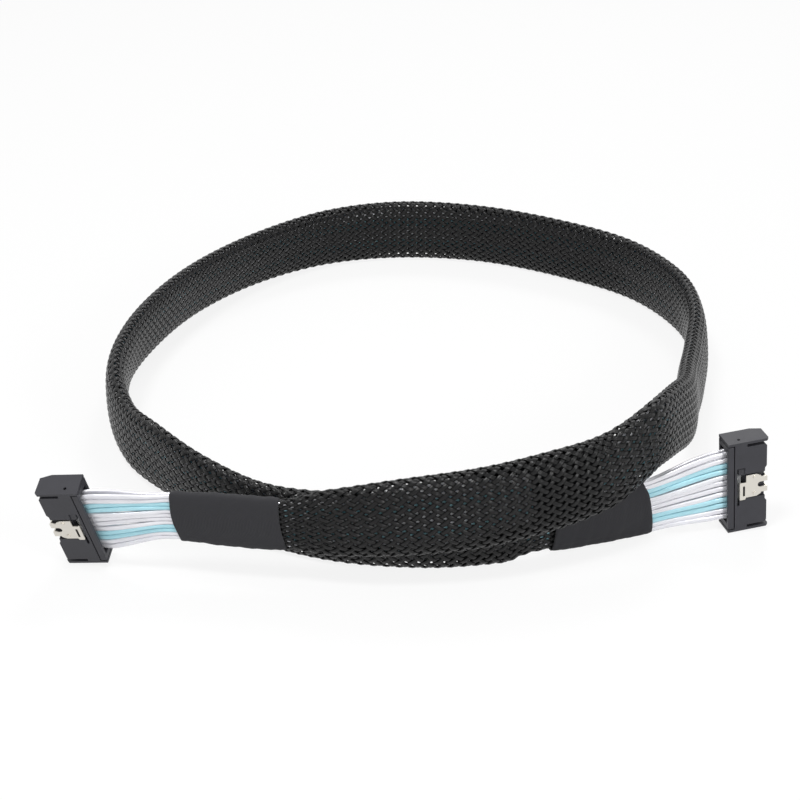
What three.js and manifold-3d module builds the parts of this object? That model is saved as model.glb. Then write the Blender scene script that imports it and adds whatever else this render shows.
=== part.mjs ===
// A server cable about one metre long: two edge connectors with steel latches, joined by 24 flat
// twin-axial wires in a flat braided sleeve. It stands on its edge in one loop, with its ends crossed
// in front. Millimetres, +Z up. The origin is on the floor, under the middle of the whole cable.
import * as THREE from "three";
import * as BufferGeometryUtils from "three/addons/utils/BufferGeometryUtils.js";
import Module from "manifold-3d";

const wasm = await Module();
wasm.setup();

// Driving dimensions of the wires and what is wrapped around them
const WIRES_PER_ROW = 12;
const WIRE_THICKNESS = 1.0;
const BUNDLE_PITCH = 1.45; // from wire to wire where they are wrapped
const ROW_PITCH = 1.3; // from one row of wires to the other where they are wrapped
const BLUE_WIRES = [2, 3, 8, 9]; // the places of the light blue wires in each row
const CLEARANCE = 0.3; // between pieces that touch on the real cable; each wire fills its pitch but for this
const SLEEVE_THICKNESS = 8; // of the flat sleeve, where it is widest
const SLEEVE_POWER = 2.6; // how square its section is
const SLEEVE_WALL = 0.6;
const SLEEVE_END_WALL = 0.45; // where the braid is drawn together under the tape
const SLEEVE_TUCK = 8; // how far the sleeve's ends go in under the tape
const TAPE_WALL = 0.6;
const INNER_TAPE_LENGTH = 24;
const INNER_TAPE_MIDDLE = 150; // along the route, from the left plug

// Driving dimensions of a plug: X towards its mating end, Y along it, Z out of its latch side
const PLUG_LENGTH = 33;
const PLUG_THICKNESS = 8.2;
const BODY_DEPTH = 13.3;
const BODY_CORNER = 0.6;
const WING_DEPTH = 14; // the guide wings reach a little further than the body
const WING_THICKNESS = 0.9;
const WING_GAP = 1; // the slot between a wing and the body
const WING_ROOT = 6.5; // the slot's depth is what lies beyond this
const WING_TAPER_LENGTH = 3.6; // the wing narrows on the side away from the latch
const WING_TAPER = 1.3;
const WING_CORNER = 0.8;
const COVER_DEPTH = 2;
const POCKET_LENGTH = 26.8; // the rear pocket that the wires go into
const POCKET_HEIGHT = 5.8;
const REAR_CAVITY_END = 5.4;
const WEB_THICKNESS = 1.2; // between the rear cavity and the mating cavity
const CARD_WIDTH = 21.8;
const MATING_MARGIN = 0.7; // from the card's edge to the end of the mating cavity
const MATING_HEIGHT = 4.4;
const CARD_THICKNESS = 0.8;
const CARD_START = 2.8;
const CARD_END = 12.2;
const CARD_CHAMFER = 0.5;
const BLOCK_START = 1.4; // the hot-melt block that holds the wires on the card
const BLOCK_BRIDGE = 1; // the part of the block behind the card
const WIRE_INSERT = 1; // how far the wires reach into the cover
const FAN_PITCH = 2.08; // from wire to wire at the plug
const FAN_ROW_PITCH = 2;
const NOSE_STEP = 0.6; // the middle of the mating edge lies back by this
const NOSE_STEP_LENGTH = 11.4;
const NOSE_STEP_SLANT = 0.9; // its ends slope outwards by this
const END_HOLE_RADIUS = 0.55; // of the small blind hole in one end face
const END_HOLE_DEPTH = 1.5;
const END_HOLE_REAR = 4.4; // from the plug's rear face
const END_HOLE_TOP = 2.35; // from the latch side

// Driving dimensions of the steel latch, which is rooted at the nose, and of the recess around it
const LATCH_SHEET = 0.45;
const LATCH_PROUD = 0.25; // how far it stands above the plug's face
const LATCH_WIDTH = 8.2;
const PLATE_REAR = 6.1;
const PLATE_CORNER = 1.5;
const PLATE_SHOULDER = 1.5; // the prongs start this far behind the nose
const PRONG_WIDTH = 1.95;
const PRONG_SPACING = 3.85;
const NOTCH_DEPTH = 2.6; // of the round notch between the prongs
const ROOT_BEND = 1.6; // how far the prongs' tips bend down over the nose
const TAB_REAR = 3.9;
const TAB_WIDTH = 6.4;
const TAB_OFFSET = 1.6; // the tab lies to one side of the plate's middle
const TAB_SLOT = [0.7, 3.7];
const LIP_RADIUS = 0.35;
const LIP_ARC_STEPS = 8;
const BARB_RADIUS = 0.6;
const BARB_SIDES = 12;
const BARB_HEIGHT = 0.3;
const BARB_SPACING = 5.9;
const BARB_PLACE = 9; // from the plug's rear face
const PLATE_RECESS = 0.85; // deep enough for the latch to be pressed in
const TAB_RECESS = 1.4;
const RECESS_MARGIN = 0.4; // around the latch
const RECESS_REAR = 3.1;
const RECESS_REACH = 6.9; // the recess goes this far along the plug, beside the tab
const RECESS_BLOCK = [2, 2.3, 1.05]; // the block that stands in it: length, width, height

// The route of the middle of the wires, from the left plug to the right one: x, y, z, then how far
// the flat cable leans towards the inside of the loop, in degrees, and its width from edge to edge.
// Each row is chosen by hand.
const ROUTE = [
  [-95.3, -125.2, 18.4, -21, 20],
  [-88.5, -126.6, 19.3, -17, 20],
  [-73, -128, 21.2, -7, 20],
  [-57, -130, 21.1, -3, 20],
  [-39, -132.5, 20.9, -2, 20],
  [-22, -134.3, 22.1, 0, 22.5],
  [0, -135.3, 24.4, 0, 26.5],
  [26, -132.3, 26.4, 0, 28],
  [48, -125, 28.5, 0, 28],
  [63, -118, 30.5, 0, 27],
  [73, -111.5, 34, 0, 25.5],
  [82, -101.5, 36.6, 2, 24.5],
  [90, -84, 33, 4, 24.5],
  [97.5, -62, 26.3, 5, 25],
  [103, -34, 19.8, 5, 26.5],
  [109.5, -4, 15.3, 6, 28.5],
  [115, 28, 14.6, 7, 29],
  [113, 62, 14.6, 10, 29],
  [97, 97, 14.6, 12, 29],
  [68, 122.5, 14.6, 13, 29],
  [35, 140, 14.6, 14, 29],
  [0, 145, 14.6, 13, 29],
  [-32, 135.5, 14.6, 15, 28.5],
  [-60, 112.5, 14.3, 18, 28],
  [-82, 81, 14.3, 18, 28],
  [-96, 46, 14.5, 16, 29],
  [-103.5, 10, 14.5, 12, 29],
  [-102.5, -25, 14.2, 0, 28],
  [-94, -54, 13, -4, 25.5],
  [-80, -77, 14.6, -12, 29],
  [-62, -98, 13.9, -14, 28],
  [-42, -112.5, 12.7, -12, 25.5],
  [-18, -122, 13.5, -8, 27],
  [10, -124.6, 14.1, -4, 28],
  [34, -120, 13.6, 0, 27],
  [49, -114.5, 11.3, 0, 22.5],
  [64, -108.3, 10.4, 0, 20.5],
  [80.5, -102.8, 10.8, 0, 20],
  [98.9, -99.8, 15.9, -1, 20],
  [105.7, -98.2, 16.5, -1, 20],
];
const LEFT_TAPE = [2, 4]; // rows where each tape wrap starts and ends
const RIGHT_TAPE = [35, 37];
const MIDDLE = [4.4, 5.8, -0.03]; // the middle of the cable's footprint, in the route's own frame

const FAN_STEPS = 3;
const TAPE_STEPS = 4;
const SLEEVE_STEPS = 36;
const SECTION_SIDES = 12;

// Materials
const paint = (color, roughness, metalness = 0) =>
  new THREE.MeshStandardMaterial({ color, roughness, metalness });
const braidBlack = paint(0x1d1d1f, 0.45);
const tapeBlack = paint(0x2c2c30, 0.85);
const foilSilver = paint(0xd4d5d9, 0.3, 0.8);
const wireBlue = paint(0x9fd6e4, 0.35);
const housingBlack = paint(0x35353a, 0.55);
const latchSteel = paint(0xc9c6bd, 0.35, 1);
const boardGreen = paint(0x1f4a34, 0.5);
const meltWhite = paint(0xc8c6bd, 0.4);

// The smooth curve through the rows of the route, and the frame at each distance along it
const lastRow = ROUTE.length - 1;
const mirrored = (near, far) => near.map((value, k) => 2 * value - far[k]);

function rowAt(t) {
  const i = Math.min(Math.floor(t), lastRow - 1);
  const f = t - i;
  const b = ROUTE[i];
  const c = ROUTE[i + 1];
  const a = ROUTE[i - 1] ?? mirrored(b, c);
  const d = ROUTE[i + 2] ?? mirrored(c, b);
  return b.map(
    (_, k) =>
      b[k] +
      0.5 * f * (c[k] - a[k]) +
      0.5 * f * f * (2 * a[k] - 5 * b[k] + 4 * c[k] - d[k]) +
      0.5 * f * f * f * (3 * b[k] - a[k] - 3 * c[k] + d[k]),
  );
}

const pointAt = (t) => new THREE.Vector3(...rowAt(t).slice(0, 3));
const SAMPLES_PER_ROW = 24;
const distances = [0];
for (let i = 1; i <= lastRow * SAMPLES_PER_ROW; i++) {
  const step = pointAt(i / SAMPLES_PER_ROW).distanceTo(pointAt((i - 1) / SAMPLES_PER_ROW));
  distances.push(distances[i - 1] + step);
}
const distanceOfRow = (row) => distances[row * SAMPLES_PER_ROW];
const CABLE_LENGTH = distanceOfRow(lastRow);

function parameterAt(distance) {
  const i = Math.max(1, distances.findIndex((s) => s >= distance - 1e-9));
  const share = (distance - distances[i - 1]) / (distances[i] - distances[i - 1]);
  return (i - 1 + share) / SAMPLES_PER_ROW;
}

function frameAt(distance) {
  const t = parameterAt(distance);
  const [x, y, z, leanDegrees, width] = rowAt(t);
  const reach = 0.01;
  const ahead = pointAt(Math.min(t + reach, lastRow));
  const tangent = ahead.sub(pointAt(Math.max(t - reach, 0))).normalize();
  const level = tangent.clone().cross(new THREE.Vector3(0, 0, 1)).normalize();
  const upright = level.clone().cross(tangent);
  const lean = THREE.MathUtils.degToRad(leanDegrees);
  const across = upright.multiplyScalar(Math.cos(lean)).addScaledVector(level, -Math.sin(lean));
  return {
    centre: new THREE.Vector3(x, y, z).sub(new THREE.Vector3(...MIDDLE)),
    tangent,
    across,
    outward: tangent.clone().cross(across),
    width,
  };
}

// Every length of the cable is lofted through the same places, so that nested pieces stay nested
const tapeStart = distanceOfRow(LEFT_TAPE[0]);
const sleeveMouth = distanceOfRow(LEFT_TAPE[1]);
const sleeveEnd = distanceOfRow(RIGHT_TAPE[0]);
const tapeEnd = distanceOfRow(RIGHT_TAPE[1]);
const steps = (from, to, count) =>
  Array.from({ length: count }, (_, i) => from + ((to - from) * i) / count);
const PLACES = [
  ...steps(0, tapeStart, FAN_STEPS),
  ...steps(tapeStart, sleeveMouth, TAPE_STEPS),
  ...steps(sleeveMouth, sleeveEnd, SLEEVE_STEPS),
  ...steps(sleeveEnd, tapeEnd, TAPE_STEPS),
  ...steps(tapeEnd, CABLE_LENGTH, FAN_STEPS),
  CABLE_LENGTH,
];
const placesBetween = (from, to) => [from, ...PLACES.filter((s) => s > from && s < to), to];

// A point is placed by its distance along the cable, across its width and out of its flat side
const placeIn = (frame, across, out) =>
  frame.centre.clone().addScaledVector(frame.across, across).addScaledVector(frame.outward, out);

// The frame halfway along a straight step is the mix of the frames at its ends
function steppedFrame(distance) {
  const next = Math.max(1, PLACES.findIndex((s) => s >= distance - 1e-9));
  const from = PLACES[next - 1];
  const share = (distance - from) / (PLACES[next] - from);
  const [a, b] = [frameAt(from), frameAt(PLACES[next])];
  const mixed = { width: a.width + (b.width - a.width) * share };
  for (const key of ["centre", "tangent", "across", "outward"]) {
    mixed[key] = a[key].clone().lerp(b[key], share);
  }
  return mixed;
}

// Closed meshes
function closedGeometry(positions, triangles) {
  const geometry = new THREE.BufferGeometry();
  geometry.setAttribute("position", new THREE.Float32BufferAttribute(positions, 3));
  geometry.setIndex(triangles);
  let volume = 0;
  const corner = (index) => new THREE.Vector3(...positions.slice(3 * index, 3 * index + 3));
  for (let i = 0; i < triangles.length; i += 3) {
    const [a, b, c] = triangles.slice(i, i + 3).map(corner);
    volume += a.dot(b.cross(c));
  }
  if (volume < 0) {
    geometry.setIndex(triangles.map((_, i) => triangles[i - (i % 3) + [0, 2, 1][i % 3]]));
  }
  return geometry;
}

function addSkin(triangles, ringCount, sides, first, turned) {
  for (let ring = 0; ring < ringCount - 1; ring++) {
    for (let side = 0; side < sides; side++) {
      const a = first + ring * sides + side;
      const b = first + ring * sides + ((side + 1) % sides);
      const c = a + sides;
      const d = b + sides;
      triangles.push(...(turned ? [a, c, b, b, c, d] : [a, b, c, b, d, c]));
    }
  }
}

function solidLoft(rings) {
  const sides = rings[0].length;
  const triangles = [];
  addSkin(triangles, rings.length, sides, 0, false);
  const last = (rings.length - 1) * sides;
  for (let side = 1; side < sides - 1; side++) {
    triangles.push(0, side + 1, side);
    triangles.push(last, last + side, last + side + 1);
  }
  return closedGeometry(rings.flat().flatMap((p) => p.toArray()), triangles);
}

function hollowLoft(outer, inner) {
  const sides = outer[0].length;
  const triangles = [];
  const innerFirst = outer.length * sides;
  addSkin(triangles, outer.length, sides, 0, false);
  addSkin(triangles, inner.length, sides, innerFirst, true);
  const last = (outer.length - 1) * sides;
  for (let side = 0; side < sides; side++) {
    const next = (side + 1) % sides;
    triangles.push(side, innerFirst + side, next);
    triangles.push(next, innerFirst + side, innerFirst + next);
    triangles.push(last + side, last + next, innerFirst + last + side);
    triangles.push(last + next, innerFirst + last + next, innerFirst + last + side);
  }
  return closedGeometry([...outer, ...inner].flat().flatMap((p) => p.toArray()), triangles);
}

// A flat section with round edges; a higher power is squarer
function flatRing(frame, width, thickness, power) {
  return Array.from({ length: SECTION_SIDES }, (_, i) => {
    const angle = ((i + 0.5) / SECTION_SIDES) * 2 * Math.PI;
    const [c, s] = [Math.cos(angle), Math.sin(angle)];
    const across = (Math.sign(c) * Math.abs(c) ** (2 / power) * width) / 2;
    const out = (Math.sign(s) * Math.abs(s) ** (2 / power) * thickness) / 2;
    return placeIn(frame, across, out);
  });
}

// The wires
const BUNDLE_WIDTH = BUNDLE_PITCH * WIRES_PER_ROW - CLEARANCE;
const BUNDLE_THICKNESS = ROW_PITCH + WIRE_THICKNESS;
const FLAT_POWER = 8; // wraps around the flat bundle are nearly square

// 0 where the wires are wrapped, and 1 at a plug
function fanShare(distance) {
  const apart = Math.max(tapeStart - distance, distance - tapeEnd, 0);
  return THREE.MathUtils.smoothstep(apart, 0, distance < tapeStart ? tapeStart : CABLE_LENGTH - tapeEnd);
}

function wireGeometry(row, index) {
  const ends = [frameAt(0), frameAt(CABLE_LENGTH)];
  const rings = PLACES.map((distance) => {
    const share = fanShare(distance);
    const pitch = THREE.MathUtils.lerp(BUNDLE_PITCH, FAN_PITCH, share);
    const rowPitch = THREE.MathUtils.lerp(ROW_PITCH, FAN_ROW_PITCH, share);
    const across = (index - (WIRES_PER_ROW - 1) / 2) * pitch;
    const out = row * (rowPitch / 2);
    const [w, h] = [(pitch - CLEARANCE) / 2, WIRE_THICKNESS / 2];
    const frame = frameAt(distance);
    return [[-w, -h], [w, -h], [w, h], [-w, h]].map(([a, b]) => placeIn(frame, across + a, out + b));
  });
  const inserted = (ring, frame, way) =>
    ring.map((p) => p.clone().addScaledVector(frame.tangent, way * WIRE_INSERT));
  rings.unshift(inserted(rings[0], ends[0], -1));
  rings.push(inserted(rings[rings.length - 1], ends[1], 1));
  return solidLoft(rings);
}

// The sleeve, the tape at its ends and the tape around the wires inside it
const sleeveEndSize = [
  BUNDLE_WIDTH + 2 * (CLEARANCE + SLEEVE_END_WALL),
  BUNDLE_THICKNESS + 2 * (CLEARANCE + SLEEVE_END_WALL),
];
const tapeSize = sleeveEndSize.map((size) => size + 2 * (CLEARANCE + TAPE_WALL));

// How far the sleeve has opened: 0 under the tape, 1 where it has its full thickness
const SLEEVE_FLARE = 34;
function sleeveOpening(distance) {
  const inside = Math.min(distance - sleeveMouth, sleeveEnd - distance) + SLEEVE_TUCK / 4;
  return THREE.MathUtils.smoothstep(inside, 0, SLEEVE_FLARE);
}

function sleeveGeometry() {
  const places = placesBetween(sleeveMouth - SLEEVE_TUCK, sleeveEnd + SLEEVE_TUCK);
  const shell = (inset) =>
    places.map((distance) => {
      const frame = steppedFrame(distance);
      const open = sleeveOpening(distance);
      const wall = THREE.MathUtils.lerp(SLEEVE_END_WALL, SLEEVE_WALL, open);
      const full = Math.max(frame.width, sleeveEndSize[0]);
      const width = THREE.MathUtils.lerp(sleeveEndSize[0], full, Math.min(1, 2 * open));
      const thickness = THREE.MathUtils.lerp(sleeveEndSize[1], SLEEVE_THICKNESS, open);
      const power = THREE.MathUtils.lerp(FLAT_POWER, SLEEVE_POWER, open);
      return flatRing(frame, width - inset * wall, thickness - inset * wall, power);
    });
  return hollowLoft(shell(0), shell(2));
}

function tapeGeometry(from, to) {
  const shell = (inset) =>
    placesBetween(from, to).map((distance) =>
      flatRing(steppedFrame(distance), tapeSize[0] - inset, tapeSize[1] - inset, FLAT_POWER),
    );
  return hollowLoft(shell(0), shell(2 * TAPE_WALL));
}

function innerTapeGeometry() {
  const hole = [BUNDLE_WIDTH + 2 * CLEARANCE, BUNDLE_THICKNESS + 2 * CLEARANCE];
  const ends = [-0.5, 0.5].map((side) => INNER_TAPE_MIDDLE + side * INNER_TAPE_LENGTH);
  const shell = (wall) =>
    placesBetween(...ends).map((distance) =>
      flatRing(steppedFrame(distance), hole[0] + wall, hole[1] + wall, FLAT_POWER),
    );
  return hollowLoft(shell(2 * TAPE_WALL), shell(0));
}

// Solids that are joined and cut
function toSolid(geometry) {
  geometry.deleteAttribute("normal");
  geometry.deleteAttribute("uv");
  const merged = BufferGeometryUtils.mergeVertices(geometry, 1e-4);
  return new wasm.Manifold(
    new wasm.Mesh({
      numProp: 3,
      vertProperties: Float32Array.from(merged.attributes.position.array),
      triVerts: Uint32Array.from(merged.index.array),
    }),
  );
}

function toGeometry(solid) {
  const mesh = solid.getMesh();
  const geometry = new THREE.BufferGeometry();
  const positions = [];
  for (let i = 0; i < mesh.numVert; i++) {
    positions.push(...mesh.vertProperties.slice(i * mesh.numProp, i * mesh.numProp + 3));
  }
  geometry.setAttribute("position", new THREE.Float32BufferAttribute(positions, 3));
  geometry.setIndex(Array.from(mesh.triVerts));
  return geometry;
}

function block(x, y, z) {
  const geometry = new THREE.BoxGeometry(x[1] - x[0], y[1] - y[0], z[1] - z[0]);
  geometry.translate((x[0] + x[1]) / 2, (y[0] + y[1]) / 2, (z[0] + z[1]) / 2);
  return toSolid(geometry);
}

// An outline in X and Y, given thickness from one height to another
function plate(points, z, holes = []) {
  const outline = new THREE.Shape(points.map((p) => new THREE.Vector2(...p)));
  outline.holes = holes.map((hole) => new THREE.Path(hole.map((p) => new THREE.Vector2(...p))));
  const geometry = new THREE.ExtrudeGeometry(outline, { depth: z[1] - z[0], bevelEnabled: false });
  geometry.translate(0, 0, z[0]);
  return toSolid(geometry);
}

// An outline in X and Z, given length along Y
function bar(points, y) {
  const outline = new THREE.Shape(points.map((p) => new THREE.Vector2(...p)));
  const geometry = new THREE.ExtrudeGeometry(outline, { depth: y[1] - y[0], bevelEnabled: false });
  geometry.rotateX(Math.PI / 2);
  geometry.translate(0, y[1], 0);
  return toSolid(geometry);
}

// The plug, whose tab lies towards +Y or -Y
const BEYOND = 1; // a cut reaches past the face it starts from by this
const WELD = 0.1; // joined shapes reach into each other by this
const half = PLUG_THICKNESS / 2;
const wingOuter = PLUG_LENGTH / 2;
const wingInner = wingOuter - WING_THICKNESS;
const bodyEnd = wingInner - WING_GAP;
const bodyStart = COVER_DEPTH + CLEARANCE;
const nose = BODY_DEPTH - NOSE_STEP;
const spaced = (size) => [-size / 2, size / 2];
const ordered = (a, b) => [Math.min(a, b), Math.max(a, b)];

function wing(side) {
  const outline = [
    [0, -half],
    [WING_DEPTH - WING_TAPER_LENGTH, -half],
    [WING_DEPTH, -half + WING_TAPER],
    [WING_DEPTH, half - WING_CORNER],
    [WING_DEPTH - WING_CORNER, half],
    [0, half],
  ];
  return bar(outline, ordered(side * wingInner, side * wingOuter));
}

function housing(side) {
  const bodyHeights = [-half, half];
  const corner = BODY_CORNER;
  const bodyOutline = [
    [bodyStart, -bodyEnd],
    [BODY_DEPTH - corner, -bodyEnd],
    [BODY_DEPTH, -bodyEnd + corner],
    [BODY_DEPTH, bodyEnd - corner],
    [BODY_DEPTH - corner, bodyEnd],
    [bodyStart, bodyEnd],
  ];
  let solid = plate(bodyOutline, bodyHeights);
  for (const way of [-1, 1]) {
    const root = ordered(way * (bodyEnd - WELD), way * (wingInner + WELD));
    solid = solid.add(wing(way)).add(block([bodyStart, WING_ROOT], root, bodyHeights));
  }
  const rearCavity = spaced(POCKET_LENGTH);
  solid = solid.subtract(block([0, REAR_CAVITY_END], rearCavity, spaced(POCKET_HEIGHT)));
  const frontStart = REAR_CAVITY_END + WEB_THICKNESS;
  const mating = [spaced(CARD_WIDTH + 2 * MATING_MARGIN), spaced(MATING_HEIGHT)];
  solid = solid.subtract(block([frontStart, BODY_DEPTH + BEYOND], ...mating));
  const cardSlot = [spaced(CARD_WIDTH + 2 * CLEARANCE), spaced(CARD_THICKNESS + 2 * CLEARANCE)];
  solid = solid.subtract(block([REAR_CAVITY_END - WELD, frontStart + WELD], ...cardSlot));
  solid = solid.subtract(noseStep()).subtract(endHole(-side));
  return solid.subtract(latchRecess(side)).add(recessBlock(side));
}

function noseStep() {
  const inner = NOSE_STEP_LENGTH / 2;
  const outer = inner + NOSE_STEP_SLANT;
  const outline = [
    [nose, -inner],
    [BODY_DEPTH, -outer],
    [BODY_DEPTH + BEYOND, -outer],
    [BODY_DEPTH + BEYOND, outer],
    [BODY_DEPTH, outer],
    [nose, inner],
  ];
  return plate(outline, [-half - BEYOND, half + BEYOND]);
}

// The small hole in the end face on the side away from the latch's tab
function endHole(side) {
  const length = END_HOLE_DEPTH + BEYOND;
  const hole = new THREE.CylinderGeometry(END_HOLE_RADIUS, END_HOLE_RADIUS, length, BARB_SIDES);
  hole.translate(END_HOLE_REAR, side * (wingOuter - END_HOLE_DEPTH + length / 2), half - END_HOLE_TOP);
  return toSolid(hole);
}

function latchRecess(side) {
  const top = half + BEYOND;
  const plateFloor = half - PLATE_RECESS;
  const underPlate = [PLATE_REAR - RECESS_MARGIN, BODY_DEPTH + BEYOND];
  const plateSides = spaced(LATCH_WIDTH + 2 * RECESS_MARGIN);
  const tabSide = side * (TAB_OFFSET + TAB_WIDTH / 2 + RECESS_MARGIN);
  const underTab = ordered(tabSide, -side * RECESS_REACH);
  const tabLengths = [RECESS_REAR, PLATE_REAR - RECESS_MARGIN + WELD];
  const slit = ordered(side * RECESS_REACH, 0);
  return block(underPlate, plateSides, [plateFloor, top])
    .add(block(tabLengths, underTab, [half - TAB_RECESS, top]))
    .add(block([RECESS_REAR, TAB_REAR], slit, [half - TAB_RECESS, top]));
}

// The block that stands in the recess beside the tab
function recessBlock(side) {
  const [length, width, height] = RECESS_BLOCK;
  const x = [PLATE_REAR - RECESS_MARGIN - length, PLATE_REAR - RECESS_MARGIN + 2 * WELD];
  const y = ordered(-side * (RECESS_REACH - RECESS_MARGIN), -side * (RECESS_REACH - RECESS_MARGIN - width));
  const floor = half - TAB_RECESS;
  return block(x, y, [floor - WELD, floor + height]);
}

function rearCover() {
  const reach = wingInner - CLEARANCE;
  const ring = block([0, COVER_DEPTH], [-reach, reach], [-half, half]);
  return ring.subtract(block([-BEYOND, COVER_DEPTH + BEYOND], spaced(POCKET_LENGTH), spaced(POCKET_HEIGHT)));
}

function paddleCard() {
  const side = CARD_WIDTH / 2;
  const outline = [
    [CARD_START, -side],
    [CARD_END - CARD_CHAMFER, -side],
    [CARD_END, -side + CARD_CHAMFER],
    [CARD_END, side - CARD_CHAMFER],
    [CARD_END - CARD_CHAMFER, side],
    [CARD_START, side],
  ];
  return plate(outline, spaced(CARD_THICKNESS));
}

function meltBlock() {
  const length = spaced(POCKET_LENGTH - 2 * CLEARANCE);
  const height = spaced(POCKET_HEIGHT - 2 * CLEARANCE);
  const solid = block([BLOCK_START, REAR_CAVITY_END - CLEARANCE], length, height);
  const slotLengths = [BLOCK_START + BLOCK_BRIDGE, REAR_CAVITY_END];
  const slot = [spaced(CARD_WIDTH + 2 * CLEARANCE), spaced(CARD_THICKNESS + 2 * CLEARANCE)];
  return solid.subtract(block(slotLengths, ...slot));
}

// The latch's flat outline, from its tab to the prongs that reach over the nose
function latchOutline(side, tip) {
  const w = LATCH_WIDTH / 2;
  const prongInner = (PRONG_SPACING - PRONG_WIDTH) / 2;
  const prongOuter = (PRONG_SPACING + PRONG_WIDTH) / 2;
  const shoulder = nose - PLATE_SHOULDER;
  const notchEnd = nose - NOTCH_DEPTH + prongInner;
  const tabEnds = spaced(TAB_WIDTH).map((y) => y + side * TAB_OFFSET);
  const outline = new THREE.Shape();
  outline.moveTo(PLATE_REAR, -w);
  outline.lineTo(shoulder - PLATE_CORNER, -w);
  outline.lineTo(shoulder, -w + PLATE_CORNER / 2);
  outline.lineTo(shoulder, -prongOuter);
  outline.lineTo(tip, -prongOuter);
  outline.lineTo(tip, -prongInner);
  outline.lineTo(notchEnd, -prongInner);
  outline.absarc(notchEnd, 0, prongInner, 1.5 * Math.PI, 0.5 * Math.PI, true);
  outline.lineTo(tip, prongInner);
  outline.lineTo(tip, prongOuter);
  outline.lineTo(shoulder, prongOuter);
  outline.lineTo(shoulder, w - PLATE_CORNER / 2);
  outline.lineTo(shoulder - PLATE_CORNER, w);
  outline.lineTo(PLATE_REAR, w);
  outline.lineTo(PLATE_REAR, Math.min(tabEnds[1], w));
  outline.lineTo(PLATE_REAR - RECESS_MARGIN, tabEnds[1]);
  outline.lineTo(TAB_REAR + LIP_RADIUS, tabEnds[1]);
  outline.lineTo(TAB_REAR + LIP_RADIUS, tabEnds[0]);
  outline.lineTo(PLATE_REAR - RECESS_MARGIN, tabEnds[0]);
  outline.lineTo(PLATE_REAR, Math.max(tabEnds[0], -w));
  const [slotX, slotY] = TAB_SLOT.map((size) => size / 2);
  const [x, y] = [(TAB_REAR + 2 * LIP_RADIUS + PLATE_REAR) / 2, side * TAB_OFFSET];
  const slot = [[-slotX, -slotY], [slotX, -slotY], [slotX, slotY], [-slotX, slotY]];
  outline.holes.push(new THREE.Path(slot.map(([a, b]) => new THREE.Vector2(x + a, y + b))));
  return outline;
}

// The rolled lip at the rear of the tab
function latchLip(side, top) {
  const middle = [TAB_REAR + LIP_RADIUS, top - LIP_RADIUS];
  const arc = Array.from({ length: LIP_ARC_STEPS + 1 }, (_, i) => {
    const angle = Math.PI * (0.5 + i / LIP_ARC_STEPS);
    return [middle[0] + LIP_RADIUS * Math.cos(angle), middle[1] + LIP_RADIUS * Math.sin(angle)];
  });
  const inside = [middle[0] + LIP_RADIUS, top];
  return bar([...arc, [inside[0], middle[1] - LIP_RADIUS / 2], inside], spaced(TAB_WIDTH)).translate([
    0,
    side * TAB_OFFSET,
    0,
  ]);
}

function latch(side) {
  const top = half + LATCH_PROUD;
  const bottom = top - LATCH_SHEET;
  const tip = nose + CLEARANCE + LATCH_SHEET;
  const outline = latchOutline(side, tip);
  const sheet = new THREE.ExtrudeGeometry(outline, { depth: LATCH_SHEET, bevelEnabled: false, curveSegments: 6 });
  sheet.translate(0, 0, bottom);
  let solid = toSolid(sheet).add(latchLip(side, top));
  for (const way of [-1, 1]) {
    const prongs = ordered(way * (PRONG_SPACING - PRONG_WIDTH) / 2, way * (PRONG_SPACING + PRONG_WIDTH) / 2);
    const bend = block([tip - LATCH_SHEET, tip], prongs, [half - ROOT_BEND, bottom + LATCH_SHEET / 2]);
    const barb = new THREE.CylinderGeometry(BARB_RADIUS, BARB_RADIUS, LATCH_SHEET + BARB_HEIGHT, BARB_SIDES);
    barb.rotateX(Math.PI / 2);
    barb.translate(BARB_PLACE, (way * BARB_SPACING) / 2, bottom + (LATCH_SHEET + BARB_HEIGHT + WELD) / 2);
    solid = solid.add(bend).add(toSolid(barb));
  }
  return solid;
}

function plug(name, frame, way) {
  const group = new THREE.Group();
  const forward = frame.tangent.clone().multiplyScalar(way);
  const along = frame.across.clone().multiplyScalar(way);
  group.matrixAutoUpdate = false;
  group.matrix.makeBasis(forward, along, frame.outward).setPosition(frame.centre);
  const tabSide = -way;
  const pieces = {
    housing: [housing(tabSide), housingBlack],
    rear_cover: [rearCover(), housingBlack],
    paddle_card: [paddleCard(), boardGreen],
    wire_anchor: [meltBlock(), meltWhite],
    latch: [latch(tabSide), latchSteel],
  };
  for (const [piece, [solid, material]] of Object.entries(pieces)) {
    group.add(named(`${name}_${piece}`, toGeometry(solid), material));
  }
  return group;
}

function named(name, geometry, material) {
  const mesh = new THREE.Mesh(geometry, material);
  mesh.name = name;
  return mesh;
}

// The whole cable
const cable = new THREE.Group();
for (const [row, letter] of [[1, "front"], [-1, "back"]]) {
  for (let index = 0; index < WIRES_PER_ROW; index++) {
    const number = String(index + 1).padStart(2, "0");
    const material = BLUE_WIRES.includes(index) ? wireBlue : foilSilver;
    cable.add(named(`wire_${letter}_${number}`, wireGeometry(row, index), material));
  }
}
cable.add(named("braided_sleeve", sleeveGeometry(), braidBlack));
cable.add(named("left_tape_wrap", tapeGeometry(tapeStart, sleeveMouth), tapeBlack));
cable.add(named("right_tape_wrap", tapeGeometry(sleeveEnd, tapeEnd), tapeBlack));
cable.add(named("inner_tape_wrap", innerTapeGeometry(), tapeBlack));
cable.add(plug("left", frameAt(0), -1));
cable.add(plug("right", frameAt(CABLE_LENGTH), 1));
cable.updateMatrixWorld(true);

export default cable;
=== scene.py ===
import math

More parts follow.
